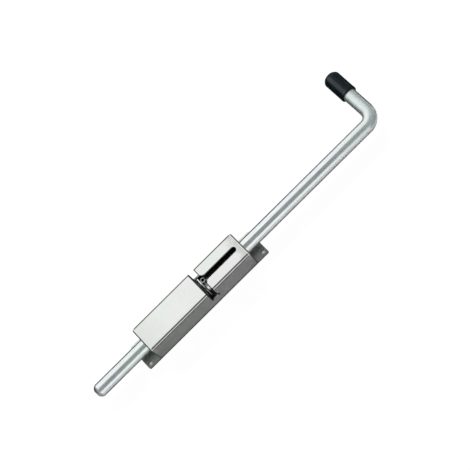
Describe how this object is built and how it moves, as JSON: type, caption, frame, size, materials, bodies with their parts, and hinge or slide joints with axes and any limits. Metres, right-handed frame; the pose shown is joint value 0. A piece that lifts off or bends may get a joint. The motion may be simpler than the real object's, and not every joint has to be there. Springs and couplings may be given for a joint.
{
  "type": "sliding bolt",
  "caption": "Round spring bolt with a bent, capped handle, sliding in a folded box housing on a base plate with screw tabs.",
  "frame": {"origin": "centre of the base plate's back face, which lies on the mounting surface", "axes": "+X along the rod towards the handle, +Y the side the handle points to, +Z out of the mounting surface"},
  "size_m": [0.4258, 0.0915, 0.034],
  "materials": {
    "base_plate": "zinc-plated sheet, satin",
    "cover": "zinc-plated sheet, satin, brushed along its length",
    "end_plates": "zinc-plated plate, cut edge",
    "rod": "zinc-plated round bar, satin",
    "pin": "zinc-plated spring pin",
    "cap": "black soft plastic, satin",
    "spring": "drawn spring wire",
    "washer": "zinc-plated"
  },
  "bodies": {
    "housing": {"base_plate": "base_plate", "cover": "cover", "front_guide": "end_plates", "rear_guide": "end_plates", "spring": "spring"},
    "bolt": {"bolt_rod": "rod", "cross_pin": "pin", "grip_cap": "cap", "spring_washer": "washer"}
  },
  "joints": [
    {"name": "bolt_slide", "type": "slide", "parent": "housing", "child": "bolt", "axis": [1, 0, 0], "range_m": [-0.0035, 0.0445], "deforming": ["spring"]}
  ]
}
